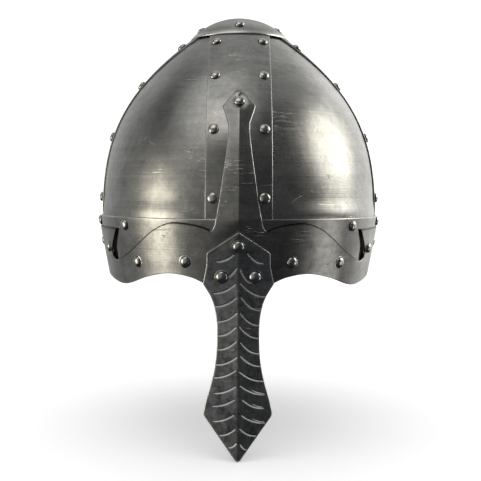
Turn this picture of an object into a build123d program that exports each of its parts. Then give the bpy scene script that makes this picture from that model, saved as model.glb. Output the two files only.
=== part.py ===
from build123d import *
import os
from functools import lru_cache
from math import asin, cos, degrees, hypot, pi, radians, sin, sqrt

# A riveted steel helmet with a nose guard. Millimetres and degrees throughout.
# The wearer faces -Y, so the wearer's left is +X. The origin is the middle of the opening for
# the head: z = 0 is the lower edge of the brow band at the sides and the back.
# A turn is counted from the front (-Y) towards the wearer's left (+X).
# Every steel layer is an offset from one surface, the outer face of the vertical bands.

# Shape of that surface
DOME_HALF_WIDTH = 103.85
DOME_FOOT = 19.25
DOME_HEIGHT = 188.3
DOME_FULLNESS = 3.453
DOME_POINT = 1.399
FOOT_LEVEL = 50
FOOT_DRAW_IN = 0.19
FOOT_ROUNDING = 8
BROW_LENGTH_RATIO = 1.165
CROWN_LENGTH_RATIO = 1.0
ROUND_FROM, ROUND_AT = 45, 176
DOME_LEVELS = (-16, 0, 16, 32, 48, 64, 80, 96, 110, 123, 135, 146, 156, 165, 173, 180, 186)

# Layers, as offsets from that surface: (inner face, outer face)
DOME_PLATE = (-2.5, -1.3)
BAND = (-1.2, 0)
BROW_BAND = (0.1, 1.3)
FRONT_PLATE = (1.4, 2.6)
BLADE = (0.1, 1.3)
HEADBAND = (-2.1, -0.1)

# Vertical bands and dome plates
BAND_HALF_WIDTH = 21.7
SEAM_GAP = 2
BAND_FOOT = 30.5
FRONT_BAND_FOOT = 22
DOME_PLATE_FOOT = 30.5
CROWN_HOLE_RADIUS = 23
SHELL_TOP = 184.5

# Crown cap
CAP_INNER_RADIUS = 50
CAP_THICKNESS = 0.9
CAP_CENTRE = 141.3
CAP_RIM = 176.8
CAP_RIVET_REACH = 29

# Brow band and front plate
BROW_TOP = 43.75
BROW_RISE = 2.5
REAR_SEAM = 0.6
PLATE_TOP = 36
PLATE_REAR_END = 38
JOGGLE = (44, 46)
BLADE_TIP = 128
BLADE_TIP_HALF_WIDTH = 2.2
RELIEF_CENTRE, RELIEF_LEAN = (-64, 25.2), -54.5
RELIEF_LENGTH, RELIEF_WIDTH = 30, 11.4

# Nose guard
NASAL_THICKNESS = 1.3
NASAL_RIDGE_SLOPE = 0.133
NASAL_HALF_SPAN = 26
NASAL_RIDGE_TOP = (36, -124.4)
NASAL_RIDGE_BEND = (1, -116.9)
NASAL_TIP = -113.8
NASAL_STOCK_TOP, NASAL_STOCK_FOOT = 50, -130
NASAL_TOP_SEAT, NASAL_LOW_SEAT = 5.2, 4.55

# Rivets
SHANK_RADIUS = 2
SHANK_CLEARANCE = 0.05
HEAD_RADIUS, HEAD_HEIGHT, HEAD_EDGE = 3.6, 2.2, 0.4
NASAL_HEAD_RADIUS, NASAL_HEAD_HEIGHT = 3.9, 2.3
TAIL_RADIUS, TAIL_HEIGHT = 3.1, 0.5
SEAT_GAP, TAIL_GAP = 0.1, 0.1
BAND_RIVET_LEVELS = (57, 101.5, 139.5, 168)
BAND_RIVET_REACH = 16.5

# Liner
LINER_HALF_WIDTH = 103.8
LINER_FOOT = 20
LINER_HEIGHT = 108
LINER_FULLNESS = 2.2
LINER_LEVELS = (6, 12, 20, 32, 44, 56, 68, 80, 90, 99, 107, 114, 119.5, 123.5, 126.2, 127.5)
PETAL = (-4.3, -2.3)
CROWN_DISC = (-2.1, -0.3)
HEADBAND_FOOT, HEADBAND_TOP, HEADBAND_RISE = 4, 28.5, 4.5
NASAL_NOTCH_WIDTH, NASAL_NOTCH_TOP = 36, 12
BAND_NOTCH_WIDTH, BAND_NOTCH_FOOT = 45.4, 21
PETAL_FOOT, PETAL_RISE = 11, 8.5
PETAL_SLACK = 1
PETAL_HALF_TURN = 16
PETAL_TURNS = (20, 84, 122, 161)
PETAL_TIP_RADIUS = 12
DISC_RADIUS = 27
DISC_RIVET_REACH = 19
DISC_RIVET_SHANK, DISC_RIVET_HEAD, DISC_RIVET_HEIGHT = 1.2, 2.4, 1.0

BIG = 500


# ---- Surfaces ----

def foot_draw_in(z):
    depth = max(FOOT_LEVEL - z, 0)
    return FOOT_DRAW_IN * (hypot(depth, FOOT_ROUNDING) - FOOT_ROUNDING)


def dome_half_width(z):
    rise = min(max((z - DOME_FOOT) / DOME_HEIGHT, 0), 0.9999)
    return DOME_HALF_WIDTH * (1 - rise ** DOME_FULLNESS) ** DOME_POINT - foot_draw_in(z)


def liner_half_width(z):
    rise = min(max((z - LINER_FOOT) / LINER_HEIGHT, 0), 0.9999)
    return LINER_HALF_WIDTH * sqrt(1 - rise ** LINER_FULLNESS) - foot_draw_in(z)


def length_ratio(z):
    share = min(max((z - ROUND_FROM) / (ROUND_AT - ROUND_FROM), 0), 1)
    return BROW_LENGTH_RATIO + (CROWN_LENGTH_RATIO - BROW_LENGTH_RATIO) * share ** 2


def slopes(profile, z):
    step = 0.25
    low, high = profile(z - step), profile(z + step)
    width_slope = (high - low) / (2 * step)
    length_slope = (high * length_ratio(z + step) - low * length_ratio(z - step)) / (2 * step)
    return width_slope, length_slope


def ring(profile, z, offset):
    """One level of a surface, an ellipse moved out along the normal at the side."""
    width_slope, length_slope = slopes(profile, z)
    half_width = profile(z) + offset / hypot(1, width_slope)
    half_length = profile(z) * length_ratio(z) + offset / hypot(1, length_slope)
    level = z - offset * width_slope / hypot(1, width_slope)
    plane = Plane(origin=(0, 0, level), x_dir=(0, 1, 0), z_dir=(0, 0, 1))
    return Wire([Edge.make_ellipse(x_radius=half_length, y_radius=half_width, plane=plane)])


@lru_cache(maxsize=None)
def dome_skin(offset):
    return Solid.make_loft([ring(dome_half_width, z, offset) for z in DOME_LEVELS])


@lru_cache(maxsize=None)
def liner_skin(offset):
    return Solid.make_loft([ring(liner_half_width, z, offset) for z in LINER_LEVELS])


@lru_cache(maxsize=None)
def layer(span, skin=dome_skin):
    return skin(span[1]) - skin(span[0])


def levels(low, high):
    """Everything between two heights."""
    return Pos(0, 0, (low + high) / 2) * Box(BIG, BIG, high - low)


def outward(turn, z, offset, profile=dome_half_width):
    """A place on a surface, its Z axis along the outward normal."""
    angle = radians(turn)
    width, length = profile(z), profile(z) * length_ratio(z)
    width_slope, length_slope = slopes(profile, z)
    lean = width * length_slope * cos(angle) ** 2 + length * width_slope * sin(angle) ** 2
    normal = Vector(length * sin(angle), -width * cos(angle), -lean).normalized()
    point = Vector(width * sin(angle), -length * cos(angle), z) + normal * offset
    return Location(Plane(origin=point, z_dir=normal))


def turn_at(reach, z, quarter):
    """The turn at which the surface is `reach` away from a band's middle line."""
    half = dome_half_width(z) * (length_ratio(z) if quarter % 2 else 1)
    return degrees(asin(reach / half)) + 90 * quarter


# ---- Rivets ----

def rivet(grip, head_radius=HEAD_RADIUS, head_height=HEAD_HEIGHT, shank=SHANK_RADIUS,
          tail_radius=TAIL_RADIUS):
    """A domed rivet. Its local Z = 0 is the face it sits on, and `grip` is what it clamps."""
    top = SEAT_GAP + head_height
    edge = SEAT_GAP + HEAD_EDGE
    bottom = -grip - TAIL_GAP
    sphere = (head_radius ** 2 + (top - edge) ** 2) / (2 * (top - edge))
    middle = (head_radius * sin(pi / 4), top - sphere + sqrt(sphere ** 2 - (head_radius ** 2) / 2))
    dome = ThreePointArc((head_radius, edge), middle, (0, top))
    sides = Polyline((0, top), (0, bottom - TAIL_HEIGHT), (tail_radius, bottom - TAIL_HEIGHT),
                     (tail_radius, bottom), (shank, bottom), (shank, SEAT_GAP),
                     (head_radius, SEAT_GAP), (head_radius, edge))
    return revolve(Plane.XZ * make_face(dome + sides), Axis.Z)


def hole(shank=SHANK_RADIUS):
    return Cylinder(shank + SHANK_CLEARANCE, 24)


def both_sides(turns):
    return [side * turn for turn in turns for side in (1, -1)]


def band_rivet_places(quarter):
    return [outward(turn_at(side * BAND_RIVET_REACH, z, quarter), z, BAND[1])
            for z in BAND_RIVET_LEVELS for side in (1, -1)]


def cap_rivet_places():
    outer = CAP_INNER_RADIUS + CAP_THICKNESS
    places = []
    for turn in range(0, 360, 90):
        normal = Vector(CAP_RIVET_REACH * sin(radians(turn)), -CAP_RIVET_REACH * cos(radians(turn)),
                        sqrt(outer ** 2 - CAP_RIVET_REACH ** 2)).normalized()
        places.append(Location(Plane(origin=Vector(0, 0, CAP_CENTRE) + normal * outer, z_dir=normal)))
    return places


def disc_rivet_places():
    rise = (1 - (DISC_RIVET_REACH / LINER_HALF_WIDTH) ** 2) ** (1 / LINER_FULLNESS)
    level = LINER_FOOT + rise * LINER_HEIGHT
    return [outward(turn, level, CROWN_DISC[1], liner_half_width) for turn in both_sides(PETAL_TURNS)]


BROW_RIVETS = [outward(turn, z, BROW_BAND[1]) for turn, z in
               [(48, 38.5), (-48, 38.5), (132, 38.5), (-132, 38.5)]]
BROW_RIVETS += [outward(turn_at(side * 19, 39.8, quarter), 39.8, BROW_BAND[1])
                for quarter in (1, 2, 3) for side in (1, -1)]
PLATE_RIVETS = [outward(turn, z, FRONT_PLATE[1]) for turn, z in
                [(42.2, 14.2), (-42.2, 14.2), (64.2, 22), (-64.2, 22)]]
PLATE_PETAL_RIVETS = [outward(turn, z, FRONT_PLATE[1]) for turn, z in
                      [(19.8, 16.2), (-19.8, 16.2), (88, 24), (-88, 24)]]
RIM_RIVETS = [outward(turn, 16, BROW_BAND[1]) for turn in both_sides((122, 161))]
BLADE_RIVET = outward(0, 119.2, BLADE[1])
NASAL_TOP_RIVET = outward(0, 26.3, NASAL_TOP_SEAT)
NASAL_LOW_RIVETS = [outward(turn, 6.6, NASAL_LOW_SEAT) for turn in (6.4, -6.4)]
CAP_RIVETS = cap_rivet_places()
DISC_RIVETS = disc_rivet_places()

SHELL_GRIP = -DOME_PLATE[0]
PETAL_GRIP = PETAL_SLACK - PETAL[0]
ALL_PLACES = [place for quarter in range(4) for place in band_rivet_places(quarter)]
ALL_PLACES += BROW_RIVETS + PLATE_RIVETS + PLATE_PETAL_RIVETS + RIM_RIVETS
ALL_PLACES += [BLADE_RIVET, NASAL_TOP_RIVET] + NASAL_LOW_RIVETS + CAP_RIVETS


def drilled(piece):
    """Every rivet hole that reaches the piece is cut through it."""
    box = piece.bounding_box()
    near = [place for place in ALL_PLACES
            if all(low - 12 < value < high + 12 for low, value, high in
                   zip(tuple(box.min), tuple(place.position), tuple(box.max)))]
    return piece - [place * hole() for place in near]


def rivets(places, grip, **sizes):
    return Compound(children=[place * rivet(grip, **sizes) for place in places])


# ---- Cutters ----

def front_prism(outline):
    """A closed outline in X and Z, on the wearer's left, cut through the front on both sides."""
    left = extrude(Plane.XZ * make_face(outline), amount=BIG / 2)
    return left + mirror(left, about=Plane.YZ)


def arch_line(rise):
    """The two eye arches and the lobe below the strap slot, raised by `rise`."""
    arch = Spline((20, 1 + rise), (31, 5.9 + rise), (46.5, 7.8 + rise), (62, 4 + rise),
                  (81, -3.2 + rise), (96, rise), tangents=((1, 0.3), (1, 0)))
    return Line((0, 1 + rise), (20, 1 + rise)) + arch


def below_arches(rise):
    floor = Polyline((96, rise), (130, rise), (130, -60), (0, -60), (0, 1 + rise))
    return front_prism(arch_line(rise) + floor)


def through_sides(face):
    """A closed face in Y and Z, cut through the wearer's left side and its mirror image."""
    cut = Pos(60, 0, 0) * extrude(Plane.YZ * face, amount=80)
    return cut + mirror(cut, about=Plane.YZ)


def strap_slot():
    """The crescent slot for a chin strap, through the brow band."""
    rear = Spline((-72.6, 35.9), (-64.2, 29.6), (-56.5, 22.9), (-53.6, 18), (-57.2, 14),
                  tangents=((1, 0.1), (-1, -0.3)))
    front = Spline((-57.2, 14), (-62.6, 16), (-63.3, 21.7), (-67.7, 28.2), (-72.6, 35.9),
                   tangents=((-1, -0.3), (-1, 1.2)))
    return through_sides(make_face(rear + front))


def strap_relief():
    """The wider hole behind the strap slot, through the layers under the brow band."""
    hole_shape = SlotCenterToCenter(RELIEF_LENGTH - RELIEF_WIDTH, RELIEF_WIDTH)
    return through_sides(Pos(*RELIEF_CENTRE) * Rot(0, 0, RELIEF_LEAN) * hole_shape)


# ---- Steel shell ----

def dome_plate(side, face):
    """One of the four dome plates: side is +1 on the wearer's left, face is -1 at the front."""
    middle = (BIG / 2 + SEAM_GAP) / 2
    quarter = Pos(side * middle, face * middle, 0) * Box(BIG / 2, BIG / 2, BIG)
    plate = layer(DOME_PLATE) & quarter & levels(DOME_PLATE_FOOT, SHELL_TOP)
    plate -= Cylinder(CROWN_HOLE_RADIUS, BIG)
    if face < 0:
        plate -= strap_relief()
    return drilled(plate)


def band(quarter):
    """A vertical band, mitred where the four meet under the crown cap."""
    foot = BAND_FOOT if quarter else FRONT_BAND_FOOT
    reach = BIG / 2
    corner = BAND_HALF_WIDTH
    outline = Polyline((-0.1, -0.3), (-corner, -corner - 0.2), (-corner, -reach), (corner, -reach),
                       (corner, -corner - 0.2), (0.1, -0.3), close=True)
    strip = Rot(0, 0, 90 * quarter) * extrude(make_face(outline), amount=BIG)
    piece = layer(BAND) & strip & levels(foot, SHELL_TOP)
    return drilled(piece - Cylinder(CROWN_HOLE_RADIUS, BIG))


def crown_cap():
    outer = CAP_INNER_RADIUS + CAP_THICKNESS
    shell = Sphere(outer) - Sphere(CAP_INNER_RADIUS)
    cap = Pos(0, 0, CAP_CENTRE) * shell & levels(CAP_RIM, 250)
    return drilled(cap)


def brow_band():
    piece = layer(BROW_BAND) & levels(0, BROW_TOP)
    piece -= below_arches(BROW_RISE)
    piece -= strap_slot()
    piece -= Pos(0, BIG / 2, 0) * Box(REAR_SEAM, BIG, BIG)
    return drilled(piece)


def blade_side():
    """The wearer's left edge of the spear-point blade, from its tip down to the eyebrow."""
    tip = Polyline((0, BLADE_TIP), (BLADE_TIP_HALF_WIDTH, BLADE_TIP), (11, 116.5), (7, 105))
    flank = Spline((7, 105), (8.6, 85), (10.7, 69.8), (16.8, 36.2))
    return tip + flank


def eyebrow():
    """The top of the eyebrow arch, round the foot of the strap slot, to the plate's top edge."""
    arch = Spline((16.8, 36.2), (25, 39.5), (40, 41.5), (57.5, 35.5), (80, 16.4),
                  tangents=((1, 0.6), (1, -0.6)))
    notch = Spline((80, 16.4), (84.7, 13.6), (89.3, 17.6), (88, 26.2), (84.4, PLATE_TOP),
                   tangents=((1, -0.6), (-0.4, 1)))
    return arch + notch


def front_plate():
    rear = Polyline((84.4, PLATE_TOP), (130, PLATE_TOP), (130, 0), (96, 0))
    outline = blade_side() + eyebrow() + rear + arch_line(0) + Line((0, 1), (0, BLADE_TIP))
    wing_depth = PLATE_REAR_END + 1
    cutter = front_prism(outline)
    for side in (1, -1):
        cutter += Pos(side * 100, wing_depth / 2 - 1, PLATE_TOP / 2) * Box(100, wing_depth, PLATE_TOP)
    plate = layer((BLADE[0], FRONT_PLATE[1])) & cutter
    plate -= levels(JOGGLE[1], BIG) - dome_skin(BLADE[1])
    plate -= dome_skin(FRONT_PLATE[0]) & levels(-BIG, JOGGLE[0])
    return drilled(plate)


def nasal_guard():
    """A plate folded along its middle, leaning with the brow and then hanging straight down."""
    def fold(z, ridge):
        rise = NASAL_HALF_SPAN * NASAL_RIDGE_SLOPE
        points = [(-NASAL_HALF_SPAN, ridge + rise), (0, ridge), (NASAL_HALF_SPAN, ridge + rise)]
        back = [(x, y + NASAL_THICKNESS) for x, y in reversed(points)]
        return Wire(Polyline(*[(x, y, z) for x, y in points + back], close=True).edges())

    lean = (NASAL_RIDGE_TOP[1] - NASAL_RIDGE_BEND[1]) / (NASAL_RIDGE_TOP[0] - NASAL_RIDGE_BEND[0])
    top_ridge = NASAL_RIDGE_TOP[1] + lean * (NASAL_STOCK_TOP - NASAL_RIDGE_TOP[0])
    levels_of_fold = [fold(NASAL_STOCK_FOOT, NASAL_RIDGE_BEND[1]), fold(*NASAL_RIDGE_BEND),
                      fold(NASAL_STOCK_TOP, top_ridge)]
    stock = Solid.make_loft(levels_of_fold, ruled=True)
    head = Polyline((0, 35.6), (20.3, 22.1), (20.4, 13.5), (22.9, 2))
    flank = Spline((22.9, 2), (14.5, -17.5), (13.7, -30), (16.3, -58.5), (22.6, -83.4),
                   tangents=((-1, -1.6), (0.1, -1)))
    point = Polyline((22.6, -83.4), (0, NASAL_TIP), (0, 35.6))
    return drilled(stock & front_prism(head + flank + point))


# ---- Liner ----

def liner_headband():
    piece = layer(HEADBAND) & levels(HEADBAND_FOOT, HEADBAND_TOP)
    piece -= below_arches(HEADBAND_RISE)
    piece -= strap_relief()
    front_half = Pos(0, -BIG / 4, 0) * Box(BIG, BIG / 2, BIG)
    under_nasal = Box(NASAL_NOTCH_WIDTH, BIG, BIG) & levels(-BIG, NASAL_NOTCH_TOP)
    under_band = Box(BAND_NOTCH_WIDTH, BIG, BIG) & levels(BAND_NOTCH_FOOT, BIG)
    piece -= front_half & (under_nasal + under_band)
    return drilled(piece)


def liner_petal(turn):
    half = radians(PETAL_HALF_TURN)
    reach = 200
    outline = Polyline((0, 0), (-reach * sin(half), -reach * cos(half)),
                       (reach * sin(half), -reach * cos(half)), close=True)
    sector = Rot(0, 0, turn) * extrude(make_face(outline), amount=BIG)
    piece = layer(PETAL, liner_skin) & sector & levels(PETAL_FOOT, BIG)
    piece -= Cylinder(PETAL_TIP_RADIUS, BIG)
    if abs(turn) < 90:
        piece -= below_arches(PETAL_RISE)
    piece = drilled(piece)
    return piece - [place * hole(DISC_RIVET_SHANK) for place in DISC_RIVETS]


def liner_crown_disc():
    disc = layer(CROWN_DISC, liner_skin) & Cylinder(DISC_RADIUS, BIG) & levels(LINER_FOOT + 80, BIG)
    return disc - [place * hole(DISC_RIVET_SHANK) for place in DISC_RIVETS]


def disc_rivets():
    grip = CROWN_DISC[1] - PETAL[0] + 0.1
    return rivets(DISC_RIVETS, grip, head_radius=DISC_RIVET_HEAD, head_height=DISC_RIVET_HEIGHT,
                  shank=DISC_RIVET_SHANK, tail_radius=DISC_RIVET_HEAD)


# ---- Every node ----

BAND_NAMES = ("front", "left", "rear", "right")

nodes = {}
for side, side_name in ((1, "left"), (-1, "right")):
    for face, face_name in ((-1, "front"), (1, "rear")):
        nodes[f"dome_plate_{face_name}_{side_name}"] = dome_plate(side, face)
for quarter, name in enumerate(BAND_NAMES):
    nodes[f"{name}_band"] = band(quarter)
    nodes[f"{name}_band_rivets"] = rivets(band_rivet_places(quarter), SHELL_GRIP)
nodes["crown_cap"] = crown_cap()
nodes["brow_band"] = brow_band()
nodes["front_plate"] = front_plate()
nodes["nasal_guard"] = nasal_guard()
nodes["crown_cap_rivets"] = rivets(CAP_RIVETS, CAP_THICKNESS + SHELL_GRIP + 0.7)
nodes["brow_band_rivets"] = rivets(BROW_RIVETS, BROW_BAND[1] + SHELL_GRIP)
nodes["front_plate_rivets"] = rivets(PLATE_RIVETS, FRONT_PLATE[1] - HEADBAND[0])
nodes["front_petal_rivets"] = rivets(PLATE_PETAL_RIVETS, FRONT_PLATE[1] + PETAL_GRIP)
nodes["rim_rivets"] = rivets(RIM_RIVETS, BROW_BAND[1] + PETAL_GRIP)
nodes["blade_rivet"] = rivets([BLADE_RIVET], BLADE[1] + SHELL_GRIP)
nodes["nasal_top_rivet"] = rivets([NASAL_TOP_RIVET], NASAL_TOP_SEAT - BAND[0],
                                  head_radius=NASAL_HEAD_RADIUS, head_height=NASAL_HEAD_HEIGHT)
nodes["nasal_low_rivets"] = rivets(NASAL_LOW_RIVETS, NASAL_LOW_SEAT - BROW_BAND[0],
                                   head_radius=NASAL_HEAD_RADIUS, head_height=NASAL_HEAD_HEIGHT)
nodes["liner_headband"] = liner_headband()
for number, turn in enumerate(both_sides(PETAL_TURNS), 1):
    nodes[f"liner_petal_{number}"] = liner_petal(turn)
nodes["liner_crown_disc"] = liner_crown_disc()
nodes["liner_crown_rivets"] = disc_rivets()

os.makedirs("parts", exist_ok=True)
for name, piece in nodes.items():
    export_step(piece, f"parts/{name}.step")
    print(name, len(piece.solids()), round(piece.volume))
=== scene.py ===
from math import acos, asin, cos, hypot, pi, radians, sin, sqrt

import bpy
import numpy as np
from mathutils import Euler, Matrix, Vector, noise
from mathutils.geometry import delaunay_2d_cdt


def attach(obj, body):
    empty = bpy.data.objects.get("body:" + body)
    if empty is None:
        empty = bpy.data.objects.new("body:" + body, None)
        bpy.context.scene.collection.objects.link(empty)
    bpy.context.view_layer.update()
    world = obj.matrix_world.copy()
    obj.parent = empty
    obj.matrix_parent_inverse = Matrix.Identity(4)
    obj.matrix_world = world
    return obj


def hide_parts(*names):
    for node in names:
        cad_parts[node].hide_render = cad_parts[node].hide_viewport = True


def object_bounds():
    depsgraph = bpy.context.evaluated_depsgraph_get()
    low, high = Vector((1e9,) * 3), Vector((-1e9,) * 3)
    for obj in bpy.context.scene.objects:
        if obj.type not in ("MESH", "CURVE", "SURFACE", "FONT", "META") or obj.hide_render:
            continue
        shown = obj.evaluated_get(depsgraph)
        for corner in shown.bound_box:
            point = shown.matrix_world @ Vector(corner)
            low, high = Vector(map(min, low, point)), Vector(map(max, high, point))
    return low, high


# A riveted steel helmet. The shape is worked out in millimetres, as in the CAD model, and every
# mesh is written in metres. A turn is counted from the front (-Y) to the wearer's left (+X).

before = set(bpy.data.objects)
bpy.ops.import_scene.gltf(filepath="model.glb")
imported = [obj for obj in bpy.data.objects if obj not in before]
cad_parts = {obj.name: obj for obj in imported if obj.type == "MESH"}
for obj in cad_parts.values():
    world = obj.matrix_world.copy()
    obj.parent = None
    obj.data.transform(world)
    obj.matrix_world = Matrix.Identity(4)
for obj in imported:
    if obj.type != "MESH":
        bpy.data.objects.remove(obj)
cad_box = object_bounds()
MM = 0.001

# ---- The surface that every steel layer is an offset of ----

DOME_HALF_WIDTH, DOME_FOOT, DOME_HEIGHT = 103.85, 19.25, 188.3
DOME_FULLNESS, DOME_POINT = 3.453, 1.399
FOOT_LEVEL, FOOT_DRAW_IN, FOOT_ROUNDING = 50, 0.19, 8
BROW_LENGTH_RATIO, CROWN_LENGTH_RATIO = 1.165, 1.0
ROUND_FROM, ROUND_AT = 45, 176
LINER_HALF_WIDTH, LINER_FOOT, LINER_HEIGHT, LINER_FULLNESS = 103.8, 20, 108, 2.2

# Layers: (inner face, outer face)
DOME_PLATE = (-2.5, -1.3)
BAND = (-1.2, 0.0)
BROW_BAND = (0.1, 1.3)
FRONT_PLATE = (1.4, 2.6)
BLADE = (0.1, 1.3)
HEADBAND = (-2.1, -0.1)
PETAL = (-4.3, -2.3)
CROWN_DISC = (-2.1, -0.3)

BAND_HALF_WIDTH = 21.7
BAND_FOOT, FRONT_BAND_FOOT, DOME_PLATE_FOOT = 30.5, 22.0, 30.5
SEAM_HALF_GAP = 1.0
BROW_TOP = 43.75
PLATE_TOP = 36
SHELL_TOP = 184
CAP_RADIUS, CAP_THICKNESS, CAP_CENTRE, CAP_RIM = 50.9, 0.9, 141.3, 176.8


def foot_draw_in(z):
    depth = np.maximum(FOOT_LEVEL - z, 0)
    return FOOT_DRAW_IN * (np.hypot(depth, FOOT_ROUNDING) - FOOT_ROUNDING)


def dome_half_width(z):
    rise = np.clip((z - DOME_FOOT) / DOME_HEIGHT, 0, 0.9999)
    return DOME_HALF_WIDTH * (1 - rise ** DOME_FULLNESS) ** DOME_POINT - foot_draw_in(z)


def liner_half_width(z):
    rise = np.clip((z - LINER_FOOT) / LINER_HEIGHT, 0, 0.9999)
    return LINER_HALF_WIDTH * np.sqrt(1 - rise ** LINER_FULLNESS) - foot_draw_in(z)


def liner_level(reach):
    """How high the liner's dome is at a distance from its middle. It leaves out the draw-in."""
    return LINER_FOOT + (1 - (reach / LINER_HALF_WIDTH) ** 2) ** (1 / LINER_FULLNESS) * LINER_HEIGHT


def length_ratio(z):
    share = np.clip((z - ROUND_FROM) / (ROUND_AT - ROUND_FROM), 0, 1)
    return BROW_LENGTH_RATIO + (CROWN_LENGTH_RATIO - BROW_LENGTH_RATIO) * share ** 2


def surface(turn, z, offset, profile=dome_half_width, with_normal=False):
    """Points on a layer, in millimetres. turn is in radians; all three may be arrays."""
    turn, z, offset = np.broadcast_arrays(*(np.asarray(v, float) for v in (turn, z, offset)))
    step = 0.25
    width = profile(z)
    length = width * length_ratio(z)
    low, high = profile(z - step), profile(z + step)
    width_slope = (high - low) / (2 * step)
    length_slope = (high * length_ratio(z + step) - low * length_ratio(z - step)) / (2 * step)
    lean = width * length_slope * np.cos(turn) ** 2 + length * width_slope * np.sin(turn) ** 2
    normal = np.stack([length * np.sin(turn), -width * np.cos(turn), -lean], -1)
    normal /= np.linalg.norm(normal, axis=-1, keepdims=True)
    point = np.stack([width * np.sin(turn), -length * np.cos(turn), z], -1)
    point = point + normal * offset[..., None]
    return (point, normal) if with_normal else point


def turn_at(reach, z, quarter):
    """The turn where the surface is `reach` to the side of a band's middle line."""
    half = dome_half_width(z) * (length_ratio(z) if quarter % 2 else 1)
    return np.arcsin(np.clip(reach / half, -1, 1)) + quarter * pi / 2


def smooth(value, low, high):
    share = np.clip((value - low) / (high - low), 0, 1)
    return share * share * (3 - 2 * share)


def ripple(points, scale, seed):
    """Soft noise from -1 to 1 at each point, its bumps about `scale` millimetres apart."""
    shift = Vector((seed * 7.31, seed * 3.17, seed * 5.53))
    flat = np.asarray(points, float).reshape(-1, 3) / scale
    values = [noise.noise(Vector(p) + shift) for p in flat]
    return np.array(values).reshape(np.shape(points)[:-1])


def dents(points, *layers):
    """The sum of some ripples, each given as (depth, scale, seed)."""
    return sum(depth * ripple(points, scale, seed) for depth, scale, seed in layers)


# ---- Turning point grids and outlines into closed sheet meshes ----

EDGE_STEPS = (0, 0.12, 0.3, 0.6, 1.1, 1.9, 3.2)
EDGE_ROUND = 0.42
WORN_EDGE = 0.42


def rounding(reach, radius=EDGE_ROUND):
    """How far the face drops at a distance `reach` from the plate's edge."""
    inside = np.clip(radius - reach, 0, radius)
    return radius - np.sqrt(radius ** 2 - inside ** 2)


def make_object(name, points, faces, material, nodes, wear_and_shade=None, chased=None):
    """A piece of the helmet. wear and chased are for its first points, and 0 for the others."""
    mesh = bpy.data.meshes.new(name)
    mesh.from_pydata([tuple(p) for p in np.asarray(points) * MM], [], faces)
    mesh.validate()
    mesh.polygons.foreach_set("use_smooth", [True] * len(mesh.polygons))
    for label, values in (("wear_and_shade", wear_and_shade), ("chased", chased)):
        if values is not None:
            padded = np.zeros(len(mesh.vertices), dtype=np.float32)
            padded[:np.size(values)] = np.ravel(values)
            mesh.attributes.new(label, "FLOAT", "POINT").data.foreach_set("value", padded)
    mesh.materials.append(material)
    mesh.update()
    piece = bpy.data.objects.new(name, mesh)
    bpy.context.scene.collection.objects.link(piece)
    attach(piece, "root")
    if nodes:
        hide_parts(*nodes)
    return piece


def sheet_from_grid(outer, inner, wrap=False, flip=False):
    """Points and faces of a closed sheet from two grids. With wrap, the columns close in a ring."""
    rows, columns = outer.shape[:2]
    count = rows * columns
    points = np.concatenate([outer.reshape(-1, 3), inner.reshape(-1, 3)])
    faces = []
    last = columns if wrap else columns - 1

    def wall(a, b, backward):
        quad = (a, b, count + b, count + a)
        faces.append(quad[::-1] if backward else quad)

    for r in range(rows - 1):
        for c in range(last):
            d = (c + 1) % columns
            quad = (r * columns + c, r * columns + d, (r + 1) * columns + d, (r + 1) * columns + c)
            faces += [quad, tuple(count + v for v in quad[::-1])]
    for r, backward in ((0, True), (rows - 1, False)):
        for c in range(last):
            wall(r * columns + c, r * columns + (c + 1) % columns, backward)
    if not wrap:
        for c, backward in ((0, False), (columns - 1, True)):
            for r in range(rows - 1):
                wall(r * columns + c, (r + 1) * columns + c, backward)
    return points, (faces if flip else [f[::-1] for f in faces])


def dish_from_rings(outer, inner, lift=0.0):
    """A closed round dish. Its rings start near the middle, where one point closes each face."""
    points, faces = sheet_from_grid(outer, inner, wrap=True, flip=True)
    rings, steps = outer.shape[:2]
    count = rings * steps
    faces = [f for f in faces if not (min(f) < steps and count <= max(f) < count + steps)]
    points = np.concatenate([points, [[0, 0, face[0, :, 2].mean() + lift] for face in (outer, inner)]])
    top, bottom = len(points) - 2, len(points) - 1
    for c in range(steps):
        d = (c + 1) % steps
        faces += [(top, c, d), (bottom, count + d, count + c)]
    return points, faces


def edged(low, high, step):
    """Values from low to high, close together near both ends."""
    ends = [e for e in EDGE_STEPS if e < (high - low) / 2 - step / 2]
    span = (high - low) - 2 * ends[-1]
    middle = np.linspace(low + ends[-1], high - ends[-1], max(2, round(span / step) + 1))
    near = np.array(ends[:-1])
    return np.concatenate([low + near, middle, high - near[::-1]])


def loop_reach(points, loops):
    """Each point's distance to the nearest edge of the loops."""
    best = np.full(len(points), 1e9)
    for loop in loops:
        start = np.asarray(loop)
        run = np.roll(start, -1, axis=0) - start
        size = np.maximum((run ** 2).sum(1), 1e-12)
        for first in range(0, len(points), 2000):
            block = points[first:first + 2000, None, :] - start[None]
            share = np.clip((block * run[None]).sum(2) / size, 0, 1)
            gap = block - share[..., None] * run[None]
            best[first:first + 2000] = np.minimum(best[first:first + 2000],
                                                  np.sqrt((gap ** 2).sum(2)).min(1))
    return best


def inside_loops(points, loops):
    """True where a point is inside an odd number of loops."""
    odd = np.zeros(len(points), bool)
    for loop in loops:
        a = np.asarray(loop)
        b = np.roll(a, -1, axis=0)
        for first in range(0, len(points), 2000):
            x, y = points[first:first + 2000, 0, None], points[first:first + 2000, 1, None]
            spans = (a[:, 1] > y) != (b[:, 1] > y)
            rise = np.where(b[:, 1] == a[:, 1], 1e-12, b[:, 1] - a[:, 1])
            cross = a[:, 0] + (y - a[:, 1]) * (b[:, 0] - a[:, 0]) / rise
            odd[first:first + 2000] ^= ((spans & (x < cross)).sum(1) % 2).astype(bool)
    return odd


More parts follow.
